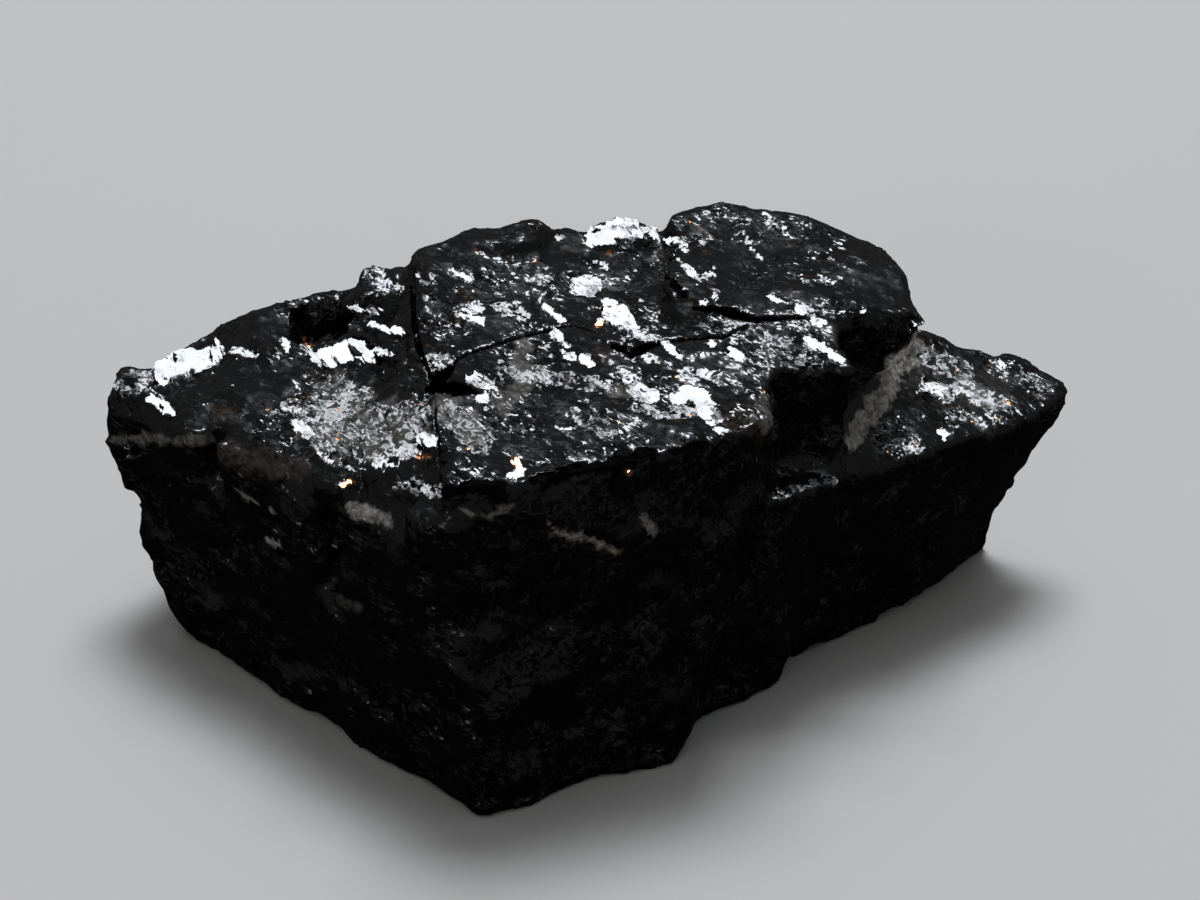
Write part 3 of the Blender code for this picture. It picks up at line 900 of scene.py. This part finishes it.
# The grey is both dust and the painted sheen and glints; the brown is both film and a painted glint.
GREY_DUST_AND_PAINTED_GLINT = linear("#C8C3BA")
BROWN_FILM_AND_PAINTED_GLINT = linear("#4C3524")
COPPER = linear("#C98A5E")
FLECK = 0.13
FLECK_SHARE = 0.002
PATCHES_PER_MM = 2.6

patches = add(tree, "ShaderNodeTexNoise", None, {
    "Vector": millimetres, "Scale": PATCHES_PER_MM, "Detail": 6.0, "Roughness": 0.65})
patches = add(tree, "ShaderNodeMapRange", None, {
    "Value": patches.outputs["Fac"], "From Min": 0.4, "From Max": 0.6}).outputs[0]
dapple = add(tree, "ShaderNodeMapRange", None, {"Value": patches, "To Min": 0.3, "To Max": 1.0}).outputs[0]
dust_and_glint_weight = add(tree, "ShaderNodeMath", {"operation": "MULTIPLY"}, {0: weights["dust_and_painted_glints"], 1: dapple}).outputs[0]
rust_and_glint_weight = add(tree, "ShaderNodeMath", {"operation": "MULTIPLY"}, {0: weights["rust_and_painted_glint"], 1: patches}).outputs[0]
flecks = add(tree, "ShaderNodeTexVoronoi", None, {"Vector": wobbled, "Scale": 1.0 / FLECK})
fleck = add(tree, "ShaderNodeSeparateColor", None, {"Color": flecks.outputs["Color"]}).outputs[0]
fleck = add(tree, "ShaderNodeMath", {"operation": "GREATER_THAN"}, {
    0: fleck, 1: 1.0 - FLECK_SHARE}).outputs[0]
colour = add(tree, "ShaderNodeMix", {"data_type": "RGBA"}, {0: rust_and_glint_weight, 6: GLASS, 7: BROWN_FILM_AND_PAINTED_GLINT}).outputs[2]
colour = add(tree, "ShaderNodeMix", {"data_type": "RGBA"}, {0: dust_and_glint_weight, 6: colour, 7: GREY_DUST_AND_PAINTED_GLINT}).outputs[2]
coppery = add(tree, "ShaderNodeMath", {"operation": "MAXIMUM"}, {0: fleck, 1: weights["copper"]}).outputs[0]
colour = add(tree, "ShaderNodeMix", {"data_type": "RGBA"}, {0: coppery, 6: colour, 7: COPPER}).outputs[2]
tree.links.new(colour, shader.inputs["Base Color"])
tree.links.new(coppery, shader.inputs["Metallic"])
print("flecks take", FLECK_SHARE, "of the surface")

# %% Set the gloss
GLOSS_ROUGHNESS = (0.1, 0.2)
GLOSS_CHANGES_PER_MM = 0.9
FROST_ROUGHNESS = 0.26
DUST_AND_GLINT_ROUGHNESS = 0.55
GLASSY_CARBON_IOR = 1.75

rough = add(tree, "ShaderNodeTexNoise", None, {
    "Vector": wobbled, "Scale": GLOSS_CHANGES_PER_MM, "Detail": 4.0})
rough = add(tree, "ShaderNodeMapRange", None, {
    "Value": rough.outputs["Fac"], "From Min": 0.35, "From Max": 0.65,
    "To Min": GLOSS_ROUGHNESS[0], "To Max": GLOSS_ROUGHNESS[1]}).outputs[0]
rough = add(tree, "ShaderNodeMix", {"data_type": "FLOAT"}, {
    0: weights["frost"], 2: rough, 3: FROST_ROUGHNESS}).outputs[0]
rough = add(tree, "ShaderNodeMix", {"data_type": "FLOAT"}, {0: dust_and_glint_weight, 2: rough, 3: DUST_AND_GLINT_ROUGHNESS}).outputs[0]
tree.links.new(rough, shader.inputs["Roughness"])
shader.inputs["IOR"].default_value = GLASSY_CARBON_IOR
stone.data.materials.clear()
stone.data.materials.append(glass)
print("nodes in the material:", len(tree.nodes))

# %% [markdown]
# ## The floor
# The floor is a plain pale board with a matt paint. Black glass mirrors what it stands on, and over a pale
# floor the walls would turn grey, while the photograph shows them almost black. So the floor is kept out of
# the mirror: in place of it the walls mirror the dark lower half of the room.

# %% Lay the floor
FLOOR_REACH = 4.0
MOTTLES_ACROSS = 60.0
PAINT_ROUGHNESS = 0.8
bpy.ops.mesh.primitive_plane_add(size=FLOOR_REACH)
floor = bpy.context.object
floor.name = "floor"
floor.visible_glossy = False
paint = bpy.data.materials.new("matt_painted_board")
paint.use_nodes = True
board = paint.node_tree.nodes["Principled BSDF"]
mottle = add(paint.node_tree, "ShaderNodeTexNoise", None, {"Scale": MOTTLES_ACROSS, "Detail": 4.0})
tone = add(paint.node_tree, "ShaderNodeMix", {"data_type": "RGBA"}, {
    0: mottle.outputs["Fac"], 6: linear("#EDEBE7"), 7: linear("#F2F0EC")}).outputs[2]
paint.node_tree.links.new(tone, board.inputs["Base Color"])
board.inputs["Roughness"].default_value = PAINT_ROUGHNESS
floor.data.materials.append(paint)
print("floor:", FLOOR_REACH, "m square")

# %% [markdown]
# ## Light
# The softbox hangs where it was settled above. A weak second lamp at the front left lifts the faintest
# flakes on the front walls. The rest of the room is a dim grey, darker below the horizon, with a soft glow
# round the softbox as a white scrim would give. It is what makes the half tones between flash and black.

# %% Hang the lamps
def hang(name, at, size, radiance, colour):
    """Hang an area lamp that looks at the stone. Its power follows from how bright its face is."""
    lamp = bpy.data.lights.new(name, "AREA")
    lamp.shape = "RECTANGLE"
    lamp.size, lamp.size_y = size[0] * MM, size[1] * MM
    lamp.energy = radiance * math.pi * lamp.size * lamp.size_y
    lamp.color = linear(colour)[:3]
    holder = bpy.data.objects.new(name, lamp)
    holder.location = Vector(at) * MM
    holder.rotation_euler = (Vector(STONE_MIDDLE) - Vector(at)).to_track_quat("-Z", "Y").to_euler()
    holder.visible_camera = False
    bpy.context.scene.collection.objects.link(holder)


SOFTBOX_RADIANCE = 14.0
FILL = np.array([-420.0, -520.0, 330.0])
FILL_SIZE = (260.0, 260.0)
FILL_RADIANCE = 0.8
hang("softbox", SOFTBOX, SOFTBOX_SIZE, SOFTBOX_RADIANCE, "#F4F8FF")
hang("fill", FILL, FILL_SIZE, FILL_RADIANCE, "#FFF1E2")
print("softbox at, mm:", SOFTBOX.round(0).tolist())

# %% Fill the room
SKY = ((0.0, "#0B0B0B"), (0.25, "#101010"), (0.38, "#3C3C3C"), (0.5, "#4E4E4E"), (0.62, "#4A4B4C"),
       (1.0, "#4C4E50"))
GLOW = 1.1
GLOW_NARROWNESS = 12.0
SCRIM_WHITE = "#F4F8FF"
room = bpy.data.worlds.new("dim_studio")
room.use_nodes = True
bpy.context.scene.world = room
aim = add(room.node_tree, "ShaderNodeTexCoord").outputs["Generated"]
height = add(room.node_tree, "ShaderNodeSeparateXYZ", None, {0: aim}).outputs["Z"]
height = add(room.node_tree, "ShaderNodeMapRange", None, {
    "Value": height, "From Min": -1.0, "From Max": 1.0}).outputs[0]
ramp = add(room.node_tree, "ShaderNodeValToRGB", None, {0: height})
for position, shade in SKY[1:-1]:
    ramp.color_ramp.elements.new(position)
for element, (position, shade) in zip(ramp.color_ramp.elements, SKY):
    element.position = position
    element.color = linear(shade)
room.node_tree.links.new(ramp.outputs["Color"], room.node_tree.nodes["Background"].inputs["Color"])
toward_lamp = add(room.node_tree, "ShaderNodeVectorMath", {"operation": "DOT_PRODUCT"}, {
    0: aim, 1: Vector(unit(SOFTBOX))}).outputs["Value"]
toward_lamp = add(room.node_tree, "ShaderNodeMath", {"operation": "MAXIMUM"}, {
    0: toward_lamp, 1: 0.0}).outputs[0]
glow = add(room.node_tree, "ShaderNodeMath", {"operation": "POWER"}, {
    0: toward_lamp, 1: GLOW_NARROWNESS}).outputs[0]
glow = add(room.node_tree, "ShaderNodeMath", {"operation": "MULTIPLY"}, {0: glow, 1: GLOW}).outputs[0]
scrim = add(room.node_tree, "ShaderNodeBackground", None, {"Color": linear(SCRIM_WHITE), "Strength": glow})
both = add(room.node_tree, "ShaderNodeAddShader", None, {
    0: room.node_tree.nodes["Background"].outputs[0], 1: scrim.outputs[0]})
room.node_tree.links.new(both.outputs[0], room.node_tree.nodes["World Output"].inputs["Surface"])
bpy.context.scene.view_settings.view_transform = "Standard"
print("room stops:", len(ramp.color_ramp.elements))
